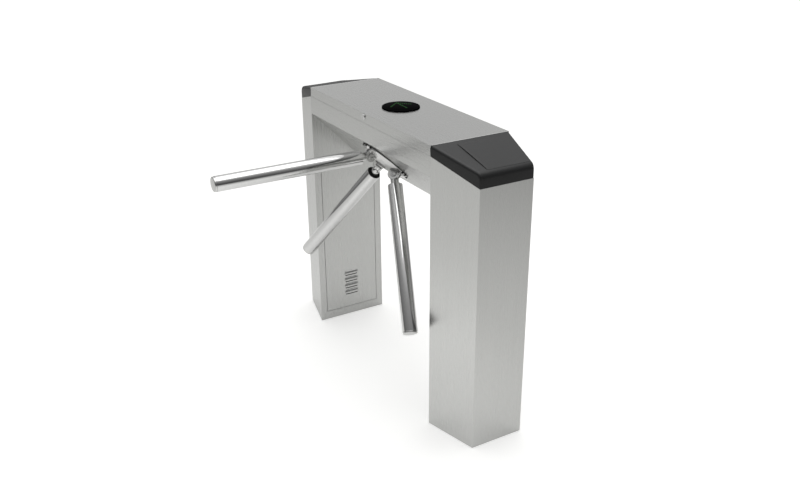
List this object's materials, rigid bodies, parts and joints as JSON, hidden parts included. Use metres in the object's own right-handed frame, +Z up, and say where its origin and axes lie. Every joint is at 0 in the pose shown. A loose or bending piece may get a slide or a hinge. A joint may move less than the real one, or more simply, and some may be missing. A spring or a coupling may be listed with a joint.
{
  "type": "tripod turnstile",
  "caption": "Waist-high bridge turnstile: steel cabinet on two tapered legs, black end caps, and a leaning rotor with polished arms, one level over the lane.",
  "frame": {"origin": "on the floor, at the middle of the part's bounding box, which takes in the level arm; the cabinet's own centre line is 0.260 m behind it in +Y", "axes": "+X along the cabinet, the way people walk past it; -Y is the lane side, where the arms reach; +Z up"},
  "size_m": [1.2, 0.8132, 0.9623],
  "materials": {
    "brushed_steel": "stainless sheet with a fine brushed grain",
    "polished_steel": "polished stainless tube",
    "cast_steel": "satin polished stainless casting",
    "zinc_steel": "zinc plated steel",
    "black_plastic": "moulded black plastic, satin",
    "grey_plastic": "moulded grey plastic",
    "dark_glass": "gloss black display window",
    "gloss_black": "gloss black moulded plastic",
    "green_light": "lit green light emitting diodes",
    "black_rubber": "black rubber ring",
    "brass": "turned brass",
    "circuit_board": "green circuit board"
  },
  "bodies": {
    "cabinet": {"leg_shell_right": "brushed_steel", "base_plate_right": "zinc_steel", "end_cap_right": "black_plastic", "reader_cover_right": "black_plastic", "card_reader_right": "grey_plastic", "leg_shell_left": "brushed_steel", "base_plate_left": "zinc_steel", "end_cap_left": "black_plastic", "reader_cover_left": "black_plastic", "card_reader_left": "grey_plastic", "beam_shell": "brushed_steel", "hinge_leaf_beam": "zinc_steel", "hinge_pin": "zinc_steel", "lid_keeper": "zinc_steel", "controller_box": "grey_plastic", "power_supply": "grey_plastic", "mechanism_frame": "zinc_steel", "front_bearing": "cast_steel", "rear_bearing": "cast_steel", "centring_spring": "zinc_steel", "damper_body": "grey_plastic", "entry_solenoid": "grey_plastic", "exit_solenoid": "grey_plastic"},
    "lid": {"top_lid": "brushed_steel", "display_bezel": "gloss_black", "display_lens": "dark_glass", "display_board": "circuit_board", "hinge_leaf_lid": "zinc_steel", "lid_lock_body": "cast_steel"},
    "lid_lock": {"lid_lock_plug": "brass"},
    "right_door": {"door_right": "brushed_steel"},
    "left_door": {"door_left": "brushed_steel"},
    "rotor": {"hub": "cast_steel", "hub_cap": "cast_steel", "main_shaft": "cast_steel", "lock_wheel": "zinc_steel", "rotor_gear": "zinc_steel", "pivot_pin_1": "cast_steel", "pivot_pin_2": "cast_steel", "pivot_pin_3": "cast_steel", "arm_knuckle_2": "cast_steel", "arm_seal_2": "black_rubber", "arm_tube_2": "polished_steel", "arm_plug_2": "cast_steel", "arm_knuckle_3": "cast_steel", "arm_seal_3": "black_rubber", "arm_tube_3": "polished_steel", "arm_plug_3": "cast_steel"},
    "top_arm": {"arm_knuckle_1": "cast_steel", "arm_seal_1": "black_rubber", "arm_tube_1": "polished_steel", "arm_plug_1": "cast_steel"},
    "centring_crank": {"centring_gear": "zinc_steel"},
    "damper_drive": {"damper_pinion": "brass"},
    "entry_lock": {"entry_pawl": "cast_steel"},
    "exit_lock": {"exit_pawl": "cast_steel"},
    "entry_plunger_rod": {"entry_plunger": "cast_steel"},
    "exit_plunger_rod": {"exit_plunger": "cast_steel"}
  },
  "joints": [
    {"name": "rotor_spin", "type": "hinge", "parent": "cabinet", "child": "rotor", "pos_m": [0, 0.22336, 0.81188], "axis": [0, -0.7071, -0.7071], "continuous": true},
    {"name": "top_arm_drop", "type": "hinge", "parent": "rotor", "child": "top_arm", "pos_m": [0, 0.13992, 0.81188], "axis": [1, 0, 0], "range_deg": [0, 90]},
    {"name": "centring_spin", "type": "hinge", "parent": "cabinet", "child": "centring_crank", "pos_m": [0.08425, 0.22336, 0.81188], "axis": [0, -0.7071, -0.7071], "continuous": true, "deforming": ["centring_spring"]},
    {"name": "damper_spin", "type": "hinge", "parent": "cabinet", "child": "damper_drive", "pos_m": [-0.079, 0.22336, 0.81188], "axis": [0, -0.7071, -0.7071], "continuous": true},
    {"name": "entry_pawl_turn", "type": "hinge", "parent": "cabinet", "child": "entry_lock", "pos_m": [-0.08746, 0.24563, 0.78961], "axis": [0, -0.7071, -0.7071], "range_deg": [0, 8], "stiffness_Nm_per_rad": 0.5, "springref_deg": -11.46},
    {"name": "exit_pawl_turn", "type": "hinge", "parent": "cabinet", "child": "exit_lock", "pos_m": [0.08746, 0.24563, 0.78961], "axis": [0, 0.7071, 0.7071], "range_deg": [0, 8], "stiffness_Nm_per_rad": 0.5, "springref_deg": -11.46},
    {"name": "entry_plunger_pull", "type": "slide", "parent": "cabinet", "child": "entry_plunger_rod", "axis": [-0.5, 0.6124, -0.6124], "range_m": [0, 0.00252]},
    {"name": "exit_plunger_pull", "type": "slide", "parent": "cabinet", "child": "exit_plunger_rod", "axis": [0.5, 0.6124, -0.6124], "range_m": [0, 0.00252]},
    {"name": "lid_open", "type": "hinge", "parent": "cabinet", "child": "lid", "pos_m": [0, 0.40364, 0.927], "axis": [-1, 0, 0], "range_deg": [0, 80]},
    {"name": "lid_lock_turn", "type": "hinge", "parent": "lid", "child": "lid_lock", "pos_m": [0, 0.13, 0.94812], "axis": [0, 1, 0], "range_deg": [0, 90]},
    {"name": "right_door_open", "type": "hinge", "parent": "cabinet", "child": "right_door", "pos_m": [0.415, 0.36934, 0.35], "axis": [0, 0, -1], "range_deg": [0, 100]},
    {"name": "left_door_open", "type": "hinge", "parent": "cabinet", "child": "left_door", "pos_m": [-0.415, 0.36934, 0.35], "axis": [0, 0, 1], "range_deg": [0, 100]}
  ],
  "couplings": [
    {"joint": "centring_spin", "follows": "rotor_spin", "ratio": -3},
    {"joint": "damper_spin", "follows": "rotor_spin", "ratio": -4},
    {"joint": "entry_plunger_pull", "follows": "entry_pawl_turn", "m_per_rad": 0.018},
    {"joint": "exit_plunger_pull", "follows": "exit_pawl_turn", "m_per_rad": 0.018}
  ]
}
